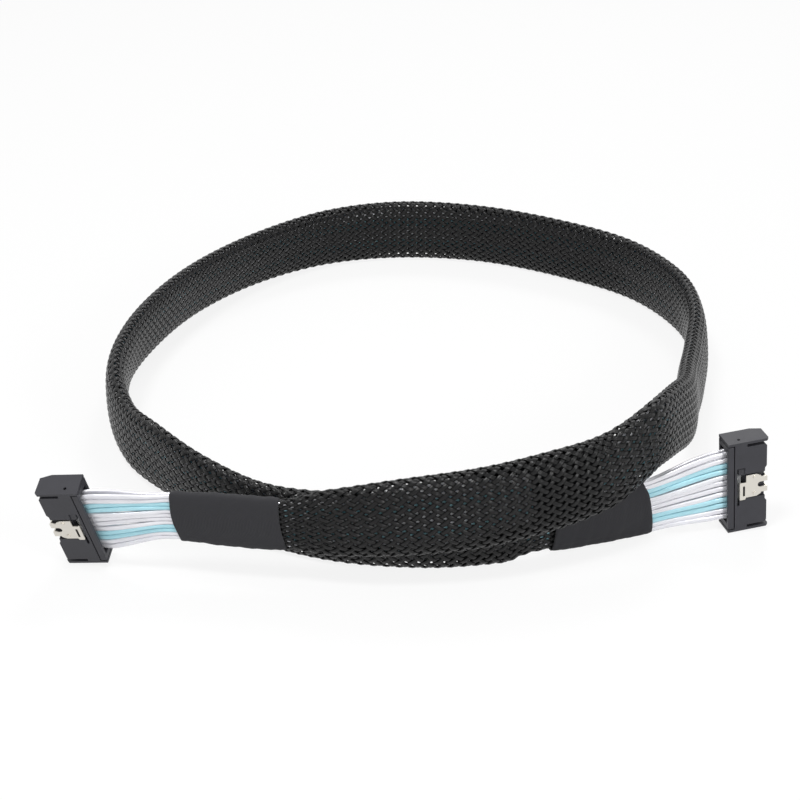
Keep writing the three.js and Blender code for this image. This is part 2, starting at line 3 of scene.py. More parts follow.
import bmesh
import bpy
import numpy as np
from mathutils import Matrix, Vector


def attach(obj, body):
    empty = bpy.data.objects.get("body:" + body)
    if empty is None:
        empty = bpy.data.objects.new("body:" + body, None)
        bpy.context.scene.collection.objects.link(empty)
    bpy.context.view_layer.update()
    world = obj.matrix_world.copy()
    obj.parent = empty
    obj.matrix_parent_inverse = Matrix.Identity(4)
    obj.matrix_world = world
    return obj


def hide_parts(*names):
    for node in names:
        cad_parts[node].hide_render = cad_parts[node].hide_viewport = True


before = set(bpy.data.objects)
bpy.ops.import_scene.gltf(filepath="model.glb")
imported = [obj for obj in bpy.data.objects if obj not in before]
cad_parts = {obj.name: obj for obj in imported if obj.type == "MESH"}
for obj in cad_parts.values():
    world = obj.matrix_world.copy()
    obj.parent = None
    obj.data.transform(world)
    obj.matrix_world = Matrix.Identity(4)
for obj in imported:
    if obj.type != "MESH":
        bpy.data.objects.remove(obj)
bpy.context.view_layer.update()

MM = 0.001  # sizes below are in millimetres unless they say otherwise

# Camera
CAMERA_PLACE = (-4.4, -646.6, 305.7)
CAMERA_TILT = 25.5  # degrees down
CAMERA_LENS = 84.6


def add_camera():
    """A long lens that looks down at the front of the cable."""
    camera = bpy.data.objects.new("camera", bpy.data.cameras.new("camera"))
    bpy.context.scene.collection.objects.link(camera)
    camera.location = Vector(CAMERA_PLACE) * MM
    camera.rotation_euler = (math.radians(90 - CAMERA_TILT), 0, 0)
    camera.data.lens = CAMERA_LENS
    camera.data.clip_start = 0.01
    bpy.context.scene.camera = camera


# The cable's route, from the left plug to the right one, in millimetres: x, y, z of its middle, how
# far it leans towards the inside of the loop in degrees, and the sleeve's width from edge to edge
ROUTE = np.array([
    (-95.3, -125.2, 18.4, -21, 20),
    (-88.5, -126.6, 19.3, -17, 20),
    (-73, -128, 21.2, -7, 20),
    (-57, -130, 21.1, -3, 20),
    (-39, -132.5, 20.9, -2, 20),
    (-22, -134.3, 22.1, 0, 22.5),
    (0, -135.3, 24.4, 0, 26.5),
    (26, -132.3, 26.4, 0, 28),
    (48, -125, 28.5, 0, 28),
    (63, -118, 30.5, 0, 27),
    (73, -111.5, 34, 0, 25.5),
    (82, -101.5, 36.6, 2, 24.5),
    (90, -84, 33, 4, 24.5),
    (97.5, -62, 26.3, 5, 25),
    (103, -34, 19.8, 5, 26.5),
    (109.5, -4, 15.3, 6, 28.5),
    (115, 28, 14.6, 7, 29),
    (113, 62, 14.6, 10, 29),
    (97, 97, 14.6, 12, 29),
    (68, 122.5, 14.6, 13, 29),
    (35, 140, 14.6, 14, 29),
    (0, 145, 14.6, 13, 29),
    (-32, 135.5, 14.6, 15, 28.5),
    (-60, 112.5, 14.3, 18, 28),
    (-82, 81, 14.3, 18, 28),
    (-96, 46, 14.5, 16, 29),
    (-103.5, 10, 14.5, 12, 29),
    (-102.5, -25, 14.2, 0, 28),
    (-94, -54, 13, -4, 25.5),
    (-80, -77, 14.6, -12, 29),
    (-62, -98, 13.9, -14, 28),
    (-42, -112.5, 12.7, -12, 25.5),
    (-18, -122, 13.5, -8, 27),
    (10, -124.6, 14.1, -4, 28),
    (34, -120, 13.6, 0, 27),
    (49, -114.5, 11.3, 0, 22.5),
    (64, -108.3, 10.4, 0, 20.5),
    (80.5, -102.8, 10.8, 0, 20),
    (98.9, -99.8, 15.9, -1, 20),
    (105.7, -98.2, 16.5, -1, 20),
])
ROUTE_MIDDLE = np.array((4.4, 5.8, -0.03))
LEFT_TAPE_ROWS = (2, 4)
RIGHT_TAPE_ROWS = (35, 37)
ROUTE_STEPS = 60  # between two rows, where the length is measured


class Route:
    """The smooth curve through the route's rows, measured along its length."""

    def __init__(self, rows):
        first = 2 * rows[0] - rows[1]
        last = 2 * rows[-1] - rows[-2]
        self.rows = np.vstack([first, rows, last])
        self.count = len(rows)
        self.steps = np.linspace(0, self.count - 1, ROUTE_STEPS * (self.count - 1) + 1)
        middle = self.value(self.steps)[:, :3]
        gaps = np.linalg.norm(np.diff(middle, axis=0), axis=1)
        self.distances = np.concatenate([[0], np.cumsum(gaps)])
        self.length = self.distances[-1]

    def value(self, t, order=0):
        """A Catmull-Rom curve's points, or its first derivative when the order is 1."""
        i = np.minimum(t.astype(int), self.count - 2)
        f = (t - i)[:, None]
        a, b, c, d = (self.rows[i + k] for k in range(4))
        square = 2 * a - 5 * b + 4 * c - d
        cube = 3 * b - a - 3 * c + d
        if order:
            return 0.5 * ((c - a) + 2 * f * square + 3 * f * f * cube)
        return b + 0.5 * f * ((c - a) + f * (square + f * cube))

    def at_row(self, row):
        """How far along the curve a row lies."""
        return float(np.interp(row, self.steps, self.distances))

    def frames(self, distance):
        """Where the cable's middle is at each distance, its axes there, and its width."""
        t = np.interp(np.atleast_1d(distance), self.distances, self.steps)
        values = self.value(t)
        tangent = unit(self.value(t, 1)[:, :3])
        level = unit(np.cross(tangent, (0, 0, 1)))
        upright = np.cross(level, tangent)
        lean = np.radians(values[:, 3:4])
        across = np.cos(lean) * upright - np.sin(lean) * level
        return {
            "centre": values[:, :3] - ROUTE_MIDDLE,
            "tangent": tangent,
            "across": across,
            "outward": np.cross(tangent, across),
            "width": values[:, 4],
        }


def unit(vectors):
    return vectors / np.linalg.norm(vectors, axis=-1, keepdims=True)


def smoothstep(x, low, high):
    share = np.clip((x - low) / (high - low), 0, 1)
    return share * share * (3 - 2 * share)


def mix(a, b, share):
    return a + (b - a) * share


route = Route(ROUTE)
TAPE_START = route.at_row(LEFT_TAPE_ROWS[0])
SLEEVE_MOUTH = route.at_row(LEFT_TAPE_ROWS[1])
SLEEVE_END = route.at_row(RIGHT_TAPE_ROWS[0])
TAPE_END = route.at_row(RIGHT_TAPE_ROWS[1])


# Meshes
def link_mesh(name, points, faces, material, attributes=None, uv=None, smooth=True):
    """A mesh object from points in millimetres."""
    mesh = bpy.data.meshes.new(name)
    faces = np.asarray(faces, np.int32)
    corners = faces.shape[1]
    mesh.vertices.add(len(points))
    mesh.vertices.foreach_set("co", (np.asarray(points) * MM).astype(np.float32).ravel())
    mesh.loops.add(faces.size)
    mesh.loops.foreach_set("vertex_index", faces.ravel())
    mesh.polygons.add(len(faces))
    mesh.polygons.foreach_set("loop_start", np.arange(0, faces.size, corners, dtype=np.int32))
    for key, values in (attributes or {}).items():
        layer = mesh.attributes.new(key, "FLOAT", "POINT")
        layer.data.foreach_set("value", np.asarray(values, np.float32).ravel())
    if uv is not None:
        mesh.uv_layers.new(name="wrap").data.foreach_set("uv", np.asarray(uv, np.float32).ravel())
    mesh.update(calc_edges=True)
    mesh.validate()
    mesh.polygons.foreach_set("use_smooth", np.full(len(mesh.polygons), smooth))
    mesh.materials.append(material)
    made = bpy.data.objects.new(name, mesh)
    bpy.context.scene.collection.objects.link(made)
    return made


def loft_faces(rings, sides, first=0):
    """Faces between rings of points, and a strip of quads across each end."""
    ring = np.arange(rings - 1)[:, None] * sides
    side = np.arange(sides)[None, :]
    a = ring + side
    b = ring + (side + 1) % sides
    skin = np.stack([a, a + sides, b + sides, b], axis=-1).reshape(-1, 4)
    caps = []
    last = (rings - 1) * sides
    for i in range(sides // 2 - 1):
        strip = (i, i + 1, sides - 2 - i, sides - 1 - i)
        caps.append(strip)
        caps.append(tuple(last + k for k in reversed(strip)))
    return np.vstack([skin, np.array(caps)]) + first


def superellipse(width, thickness, power, angles):
    """Points of a flat section with round edges, for arrays of sizes: across, then outward."""
    c, s = np.cos(angles), np.sin(angles)
    across = np.sign(c) * np.abs(c) ** (2 / power) * width / 2
    outward = np.sign(s) * np.abs(s) ** (2 / power) * thickness / 2
    return across, outward


# The sleeve: a flat tube of PET braid, 20 strands each way
CARRIERS = 20
STRAND_STEP = 2.62  # length of a strand from one crossing to the next
STRAND_COVER = 0.66  # of the space from one strand to the next one beside it
STRAND_THICKNESS = 0.5
STRAND_WAVE = 0.24  # how far a strand rises and sinks to pass over and under the others
STRAND_SAMPLES = 3  # rings of points from one crossing to the next
STRAND_SECTION = [(-1, 0), (-0.62, 0.72), (0, 1), (0.62, 0.72), (1, 0), (0, -0.7)]
STRAND_SIDES = len(STRAND_SECTION)
SECTION_POINTS = 121
SLOPE_REACH = 0.004  # of a turn, to each side of the place where a section's slope is measured
BRAID_STEP = 0.25
SLEEVE_THICKNESS = 8
SLEEVE_TUCK = 8  # of the sleeve under each tape
SLEEVE_FLARE = 34  # from a mouth to where the sleeve has its full thickness
LEFT_MOUTH_SIZE = (16.9, 3.6)
RIGHT_MOUTH_SIZE = (18.7, 4.1)
SLEEVE_POWERS = (5, 2.6)  # how square the section is at its mouths, and between them
PERIMETER_SHARE = 0.89  # of a flat section's outline against its box
BRAID_PIECES = 4  # the strands are shared between these, to keep each one light


def sleeve_section(distance, width):
    """The sleeve's width, thickness and squareness at each distance."""
    inside = np.minimum(distance - SLEEVE_MOUTH, SLEEVE_END - distance) + SLEEVE_TUCK / 4
    opened = smoothstep(inside, 0, SLEEVE_FLARE)
    on_left = distance < route.length / 2
    mouth_width, mouth_thickness = (
        np.where(on_left, *pair) for pair in zip(LEFT_MOUTH_SIZE, RIGHT_MOUTH_SIZE)
    )
    full = np.maximum(width, mouth_width)
    return (
        mix(mouth_width, full, np.minimum(1, 2 * opened)),
        mix(mouth_thickness, SLEEVE_THICKNESS, opened),
        mix(*SLEEVE_POWERS, opened),
    )


def strand_spacing(distance):
    """From one crossing of the strands to the next, along half the sleeve's outline."""
    width, thickness, _ = sleeve_section(distance, route.frames(distance)["width"])
    return 2 * (width + thickness) * PERIMETER_SHARE / (2 * CARRIERS)


def braid_stations():
    """Distances along the sleeve at even steps of the braid, and the turn of the strands at each."""
    distance = np.arange(SLEEVE_MOUTH - SLEEVE_TUCK, SLEEVE_END + SLEEVE_TUCK, BRAID_STEP)
    half_length = np.sqrt(STRAND_STEP**2 - strand_spacing(distance) ** 2)
    turn = np.concatenate([[0], np.cumsum(BRAID_STEP / (2 * CARRIERS * half_length[:-1]))])
    crossings = 2 * CARRIERS * turn
    wanted = np.arange(0, crossings[-1], 1 / STRAND_SAMPLES)
    return np.interp(wanted, crossings, distance), wanted


def braid_piece(name, strands, material):
    """Flat strands that pass over and under each other along the whole sleeve."""
    distance, crossing = braid_stations()
    frames = route.frames(distance)
    width, thickness, power = sleeve_section(distance, frames["width"])
    inset = STRAND_WAVE + STRAND_THICKNESS / 2
    angles = np.linspace(0, 2 * np.pi, SECTION_POINTS)
    turn = crossing / (2 * CARRIERS)
    spots = np.zeros((len(distance), len(strands), 4))
    for k in range(len(distance)):
        x, y = superellipse(width[k] - 2 * inset, thickness[k] - 2 * inset, power[k], angles)
        arc = np.concatenate([[0], np.cumsum(np.hypot(np.diff(x), np.diff(y)))])
        arc /= arc[-1]
        for j, (index, way) in enumerate(strands):
            u = (index / CARRIERS + way * turn[k]) % 1
            beside = [u - SLOPE_REACH, u + SLOPE_REACH]
            run = np.diff(np.interp(beside, arc, x, period=1))[0]
            rise = np.diff(np.interp(beside, arc, y, period=1))[0]
            spots[k, j] = (np.interp(u, arc, x), np.interp(u, arc, y), run, rise)
    tangent_2d = unit(spots[:, :, 2:4])
    normal_2d = np.stack([tangent_2d[..., 1], -tangent_2d[..., 0]], axis=-1)
    across = frames["across"][:, None, :]
    outward = frames["outward"][:, None, :]
    normal = normal_2d[..., :1] * across + normal_2d[..., 1:] * outward
    ways = np.array([way for _, way in strands])
    wave = STRAND_WAVE * np.cos(np.pi * crossing)[:, None] * ways[None, :]
    points = frames["centre"][:, None, :] + spots[..., :1] * across + spots[..., 1:2] * outward
    points = points + wave[..., None] * normal
    along = unit(np.gradient(points, axis=0))
    side = unit(np.cross(normal, along))
    up = np.cross(along, side)
    spacing = strand_spacing(distance)
    across_strands = 2 * spacing * np.sqrt(1 - (spacing / STRAND_STEP) ** 2)
    half_width = (STRAND_COVER * across_strands / 2)[:, None, None]
    rings = np.stack(
        [points + a * side * half_width + b * up * STRAND_THICKNESS / 2 for a, b in STRAND_SECTION], axis=2
    )
    count = len(distance)
    vertices = rings.transpose(1, 0, 2, 3).reshape(-1, 3)
    faces = np.vstack([
        loft_faces(count, STRAND_SIDES, first=j * count * STRAND_SIDES) for j in range(len(strands))
    ])
    across_value = np.tile([a for a, _ in STRAND_SECTION], count * len(strands))
    return link_mesh(name, vertices, faces, material, attributes={"across": across_value})


def add_braid(material):
    """The whole sleeve, its strands shared out between a few pieces."""
    strands = [(i, way) for i in range(CARRIERS) for way in (1, -1)]
    share = len(strands) // BRAID_PIECES
    pieces = [
        braid_piece(f"braid_strands_{k + 1}", strands[k * share:(k + 1) * share], material)
        for k in range(BRAID_PIECES)
    ]
    for piece in pieces:
        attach(piece, "cable")
    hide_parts("braided_sleeve")
    return pieces


# The wires: two rows of twelve flat pairs
WIRES_PER_ROW = 12
BLUE_WIRES = (2, 3, 8, 9)
WIRE_WIDTH = 1.86
WIRE_THICKNESS = 1.05
WIRE_SIDES = 12
PLUG_PITCH = 2.1
MOUTH_PITCHES = (1.4, 1.6)  # at the left tape and at the right one
BUNDLE_PITCHES = (1.36, 1.45)
SLEEVE_PITCH = 1.85  # where the wires lie flat, side by side against both faces of the sleeve
PLUG_ROWS = 2.1
BUNDLE_ROWS = 1.2
SLEEVE_ROWS = (4.5, 3.1)  # at the middle of the ribbon of wires, and at its edges
SLEEVE_EDGES = 7.5  # the sleeve is wider than the ribbon by this
SLEEVE_LOOSENING = (12, 44)  # in from a mouth of the sleeve, where the wires spread out
INNER_TAPE_MIDDLE = 150
WRAP_LOOSENING = (13, 36)  # the same, away from the middle of the inner tape
WIRE_INSERT = 2  # of each wire in its plug's hot melt
WIRE_SQUARENESS = 2.8
WIRE_STEP = 6
FAN_STEPS = 26
PITCH_FILL = 0.97  # of the space from one wire to the next, where they are wrapped
TAPE_GATHER = 0.3  # of a fan's length, inside the tape, over which the wires close up
FAN_SWAY = (0.22, 0.3)  # how far a wire strays from its place, across and outward
STRAIGHTENED = 0.8  # how far a fan is pulled to the straight line from the tape to its plug


def fan_share(distance):
    """1 at a plug, 0 at the mouth of the tape, and below 0 inside it."""
    left = (TAPE_START - distance) / TAPE_START
    right = (distance - TAPE_END) / (route.length - TAPE_END)
    return np.maximum(left, right)


def bundle_opening(distance):
    """0 where the wires are wrapped, and 1 where they lie loose in the sleeve."""
    inside = np.minimum(distance - SLEEVE_MOUTH, SLEEVE_END - distance)
    wrapped = np.abs(distance - INNER_TAPE_MIDDLE)
    return smoothstep(inside, *SLEEVE_LOOSENING) * smoothstep(wrapped, *WRAP_LOOSENING)


def wire_path(row, index):
    """The middle, the axes and the width of one wire, from inside one plug to inside the other."""
    inner = np.arange(TAPE_START + WIRE_STEP, TAPE_END - WIRE_STEP, WIRE_STEP)
    left = np.linspace(0, TAPE_START + WIRE_STEP, FAN_STEPS)[:-1]
    right = np.linspace(TAPE_END - WIRE_STEP, route.length, FAN_STEPS)
    distance = np.concatenate([left, inner[:-1], right])
    frames = route.frames(distance)
    share = fan_share(distance)
    opened = smoothstep(share, 0, 1)
    in_tape = smoothstep(-share, 0, TAPE_GATHER)
    on_left = distance < route.length / 2
    mouth_pitch, bundle_pitch = (np.where(on_left, *pair) for pair in (MOUTH_PITCHES, BUNDLE_PITCHES))
    loosened = bundle_opening(distance)
    pitch = mix(mix(mouth_pitch, PLUG_PITCH, opened), bundle_pitch, in_tape)
    room = (sleeve_section(distance, frames["width"])[0] - SLEEVE_EDGES) / WIRES_PER_ROW
    pitch = mix(pitch, np.clip(room, bundle_pitch, SLEEVE_PITCH), loosened)
    rank = index - (WIRES_PER_ROW - 1) / 2
    edge = (2 * rank / WIRES_PER_ROW) ** 2
    rows = mix(mix(BUNDLE_ROWS, PLUG_ROWS, opened), mix(*SLEEVE_ROWS, edge), loosened)
    loose = np.sin(np.pi * np.clip(share, 0, 1))
    across = rank * pitch + FAN_SWAY[0] * loose * math.sin(2.3 * index + 1.1 * row)
    out = row * rows / 2 + FAN_SWAY[1] * loose * math.sin(1.7 * index + 2 * row)
    middle = frames["centre"].copy()
    for in_fan, mouth in ((distance < TAPE_START, TAPE_START), (distance > TAPE_END, TAPE_END)):
        plug_end, mouth_end = (0, -1) if mouth == TAPE_START else (-1, 0)
        ends = frames["centre"][in_fan][[plug_end, mouth_end]]
        along = share[in_fan, None]
        chord = mix(ends[1], ends[0], along)
        middle[in_fan] = mix(middle[in_fan], chord, STRAIGHTENED * np.sin(np.pi * along) ** 0.5)
    centre = middle + across[:, None] * frames["across"] + out[:, None] * frames["outward"]
    head = np.array([centre[0] - WIRE_INSERT * frames["tangent"][0]])
    tail = np.array([centre[-1] + WIRE_INSERT * frames["tangent"][-1]])
    frames = {key: np.concatenate([v[:1], v, v[-1:]]) for key, v in frames.items()}
    centre = np.concatenate([head, centre, tail])
    pitch = np.concatenate([pitch[:1], pitch, pitch[-1:]])
    return centre, frames, np.minimum(WIRE_WIDTH, PITCH_FILL * pitch)


def add_wire(row, index, materials):
    """One flat pair in its film, as a tube of few sides."""
    name = f"wire_{'front' if row > 0 else 'back'}_{index + 1:02d}"
    centre, frames, width = wire_path(row, index)
    angles = (np.arange(WIRE_SIDES) + 0.5) / WIRE_SIDES * 2 * np.pi
    rings = []
    for angle in angles:
        a, b = superellipse(width, WIRE_THICKNESS, WIRE_SQUARENESS, angle)
        rings.append(centre + a[:, None] * frames["across"] + b * frames["outward"])
    points = np.stack(rings, axis=1)
    blue = index in BLUE_WIRES
    along = np.concatenate([[0], np.cumsum(np.linalg.norm(np.diff(centre, axis=0), axis=1))])
    piece = link_mesh(
        f"{name}_jacket",
        points.reshape(-1, 3),
        loft_faces(len(centre), WIRE_SIDES),
        materials["blue_film" if blue else "silver_foil"],
        attributes={"along": np.repeat(along, WIRE_SIDES)},
    )
    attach(piece, "cable")
    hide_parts(name)
    return piece


# The cloth tape around each mouth of the sleeve
TAPE_SIDES = 72
TAPE_STEPS = 70
LEFT_TAPE_SIZES = ((18, 4.6), (17.4, 4.1))  # width and thickness over the sleeve, and at the wires
RIGHT_TAPE_SIZES = ((20.2, 5.5), (19.9, 4.6))
TAPE_THICKNESS = 0.4
TAPE_SQUARENESS = 3.4
TAPE_GIRTH = 47.0  # around the tape, for the weave's scale
TAPE_CHANGE = (0.55, 0.85)  # where along the tape its size over the sleeve turns to that at the wires
TAPE_LIP = 0.18  # how far each mouth's edge is drawn in
TAPE_LIP_LENGTH = 0.035  # of the tape's length
INNER_CALM = 0.6  # how much less the inner face follows the outer one's unevenness
TAPE_WAVES = [(1, 2, 0.05), (2, 1, 0.045), (3, 4, 0.03), (5, 2, 0.02)]  # around, along, height
SEAM_HEIGHT = 0.2
SEAM_TURN = 0.6  # of the tape's length, where the seam starts to turn up
SEAM_RUN = 1.6  # how far the seam's step fades out, in half widths
TURN_HEIGHT = 0.16


def tape_noise(u, v, seed):
    """Slow unevenness of hand-wound tape, about a tenth of a millimetre."""
    height = 0
    for k, (around, along, size) in enumerate(TAPE_WAVES):
        height = height + size * np.sin(2 * np.pi * around * u + along * 3.1 * v + seed * (1.3 + k))
    return height


def add_tape(name, node, start, end, plug_first, sizes, cuts, seam, material):
    """A wound sleeve of tape. cuts gives how far its mouths are slanted, and seam where its edge runs."""
    u = np.arange(TAPE_SIDES) / TAPE_SIDES
    v = np.linspace(0, 1, TAPE_STEPS)
    angles = 2 * np.pi * (u + 0.5 / TAPE_SIDES)
    to_plug = 1 - v if plug_first else v
    rings = []
    for layer in (0, 1):
        ring_points = []
        for k, step in enumerate(v):
            grown = smoothstep(to_plug[k], *TAPE_CHANGE)
            size = [mix(a, b, grown) for a, b in zip(*sizes)]
            size = [s - 2 * layer * TAPE_THICKNESS for s in size]
            a, b = superellipse(*size, TAPE_SQUARENESS, angles)
            place = 2 * a / sizes[0][0]
            distance = mix(start, end, step) + mix(*cuts(place), step)
            frames = route.frames(distance)
            bump = tape_noise(u, 6 * step, len(name)) + seam(place, step, b > 0)
            at_edge = smoothstep(step, TAPE_LIP_LENGTH, 0) + smoothstep(step, 1 - TAPE_LIP_LENGTH, 1)
            lip = -TAPE_LIP * at_edge * (1 - layer)
            reach = (bump + lip) * (1 - INNER_CALM * layer)
            radial = unit(np.stack([a / size[0], b / size[1]], axis=-1))
            a = a + radial[:, 0] * reach
            b = b + radial[:, 1] * reach
            ring_points.append(
                frames["centre"] + a[:, None] * frames["across"] + b[:, None] * frames["outward"]
            )
        rings.append(ring_points)
    points = np.array(rings[0] + rings[1][::-1]).reshape(-1, 3)
    count = 2 * TAPE_STEPS
    ring = np.arange(count)[:, None] * TAPE_SIDES
    side = np.arange(TAPE_SIDES)[None, :]
    a = ring + side
    b = ring + (side + 1) % TAPE_SIDES
    total = count * TAPE_SIDES
    faces = np.stack([a, (a + TAPE_SIDES) % total, (b + TAPE_SIDES) % total, b], axis=-1).reshape(-1, 4)
    rows = np.arange(count)
    along = np.where(rows < TAPE_STEPS, rows, count - 1 - rows) / (TAPE_STEPS - 1) * (end - start)
    around = np.arange(TAPE_SIDES + 1) / TAPE_SIDES * TAPE_GIRTH
    uv = np.zeros((count, TAPE_SIDES, 4, 2))
    for corner, (next_side, next_ring) in enumerate(((0, 0), (0, 1), (1, 1), (1, 0))):
        uv[..., corner, 0] = around[None, next_side:next_side + TAPE_SIDES]
        uv[..., corner, 1] = np.roll(along, -next_ring)[:, None]
    piece = link_mesh(name, points, faces, material, uv=uv)
    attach(piece, "cable")
    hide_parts(node)
    return piece


def left_seam(place, step, front):
    """The last turn of the tape ends in a low step just before the sleeve."""
    return np.full_like(place, TURN_HEIGHT * smoothstep(step, 0.955, 0.95))


def right_seam(place, step, front):
    """The tape's outer end runs along the front, low at the sleeve and higher at the wires."""
    turned_up = 0.75 * (max(0, step - SEAM_TURN) / (1 - SEAM_TURN)) ** 1.5
    line = -0.72 + 0.1 * step + turned_up
    over = smoothstep(place, line - 0.03, line) * smoothstep(place, line + SEAM_RUN, line + 0.2)
    return np.where(front, SEAM_HEIGHT * over, 0)


def left_cuts(place):
    """How far the left tape's mouths are slanted: at the wires, then at the sleeve."""
    at_wires = 2.2 + 2.6 * smoothstep(-place, -0.3, 1.1) ** 1.3
    at_sleeve = 2.2 + 1.4 * smoothstep(-place, -0.2, 1.1)
    return at_wires, at_sleeve


def right_cuts(place):
    """How far the right tape's mouths are slanted: straight at the sleeve, then bowed at the wires."""
    at_wires = 0.8 * (1 - place**2) - 1.2 * smoothstep(place, 0.5, 1)
    return 0 * place, at_wires


# Pieces that keep the shape of their solids, with rounded edges
WELD = 2e-6  # metres
FLAT_ANGLE = 1  # degrees between faces that are one face
SHARP_ANGLE = 25  # degrees between faces whose edge is rounded


def rounded(node, name, width, material, segments=2, body="cable"):
    """A copy of a solid with its edges rounded as moulded or tumbled edges are."""
    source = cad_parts[node].data
    mesh = source.copy()
    mesh.name = name
    bm = bmesh.new()
    bm.from_mesh(mesh)
    bmesh.ops.remove_doubles(bm, verts=bm.verts, dist=WELD)
    bmesh.ops.dissolve_limit(bm, angle_limit=math.radians(FLAT_ANGLE), verts=bm.verts, edges=bm.edges)
    shared = [edge for edge in bm.edges if len(edge.link_faces) == 2]
    sharp = [edge for edge in shared if edge.calc_face_angle(0) > math.radians(SHARP_ANGLE)]
    bmesh.ops.bevel(
        bm,
        geom=sharp,
        offset=width * MM,
        segments=segments,
        profile=0.5,
        affect="EDGES",
        clamp_overlap=True,
    )
    bmesh.ops.triangulate(bm, faces=bm.faces, quad_method="BEAUTY", ngon_method="BEAUTY")
    bm.to_mesh(mesh)
    bm.free()
    for face in mesh.polygons:
        face.use_smooth = False
    mesh.materials.clear()
    mesh.materials.append(material)
    piece = bpy.data.objects.new(name, mesh)
    bpy.context.scene.collection.objects.link(piece)
    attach(piece, body)
    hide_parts(node)
    return piece


# Materials
THREADS_PER_STRAND = 5
WEAVE_SPACING = 0.8  # real threads lie about 0.3 apart; they are drawn as coarse as the picture can show
WEAVE_BIAS = 0.8
FILM_TURN = 3.2  # from one turn of the film to the next


def colour(code):
    """An sRGB hex colour as linear light."""
    parts = [int(code[i:i + 2], 16) / 255 for i in (1, 3, 5)]
    linear = [p / 12.92 if p <= 0.04045 else ((p + 0.055) / 1.055) ** 2.4 for p in parts]
    return (*linear, 1)


def add_node(tree, kind, settings=None, inputs=None):
    """Adds a node, with its settings, and each input either set or linked from another socket."""
    made = tree.nodes.new(kind)
    for key, value in (settings or {}).items():
        setattr(made, key, value)
    for key, value in (inputs or {}).items():
        if isinstance(value, bpy.types.NodeSocket):
            tree.links.new(value, made.inputs[key])
        else:
            made.inputs[key].default_value = value
    return made


def per_metre(size):
    """A noise's scale for features of a size in millimetres."""
    return 1 / (size * MM)


def new_material(name):
    """An empty material with one shader that shows."""
    material = bpy.data.materials.new(name)
    material.use_nodes = True
    tree = material.node_tree
    tree.nodes.clear()
    shader = add_node(tree, "ShaderNodeBsdfPrincipled")
    add_node(tree, "ShaderNodeOutputMaterial", inputs={"Surface": shader.outputs[0]})
    return material, tree, shader


def pet_braid():
    """Extruded PET monofilament, five to a strand: black, smooth and glossy along each thread."""
    material, tree, shader = new_material("pet_braid")
    across = add_node(tree, "ShaderNodeAttribute", {"attribute_name": "across"})
    phase = add_node(
        tree,
        "ShaderNodeMath",
        {"operation": "MULTIPLY"},
        {0: across.outputs["Fac"], 1: THREADS_PER_STRAND / 2 * math.pi},
    )
    ridge = add_node(tree, "ShaderNodeMath", {"operation": "COSINE"}, {0: phase.outputs[0]})
    thread = add_node(tree, "ShaderNodeMath", {"operation": "ABSOLUTE"}, {0: ridge.outputs[0]})
    bump = add_node(
        tree,
        "ShaderNodeBump",
        inputs={"Height": thread.outputs[0], "Distance": 0.08 * MM, "Strength": 0.6},
    )
    place = add_node(tree, "ShaderNodeTexCoord")
    noise = add_node(
        tree,
        "ShaderNodeTexNoise",
        inputs={"Vector": place.outputs["Object"], "Scale": per_metre(5.56), "Detail": 2.0},
    )
    gloss = add_node(
        tree,
        "ShaderNodeMapRange",
        inputs={"Value": noise.outputs["Fac"], "To Min": 0.16, "To Max": 0.26},
    )
    # Painted shade and light: the base colour follows the thread ridges, darker in the grooves between the
    # threads and lighter on their crests
    shade = add_node(
        tree,
        "ShaderNodeMix",
        {"data_type": "RGBA"},
        {"Factor": thread.outputs[0], 6: colour("#040405"), 7: colour("#0b0b0c")},
    )
    tree.links.new(shade.outputs[2], shader.inputs["Base Color"])
    tree.links.new(gloss.outputs[0], shader.inputs["Roughness"])
    tree.links.new(bump.outputs[0], shader.inputs["Normal"])
    shader.inputs["IOR"].default_value = 1.575
    shader.inputs["Specular IOR Level"].default_value = 0.22
    return material


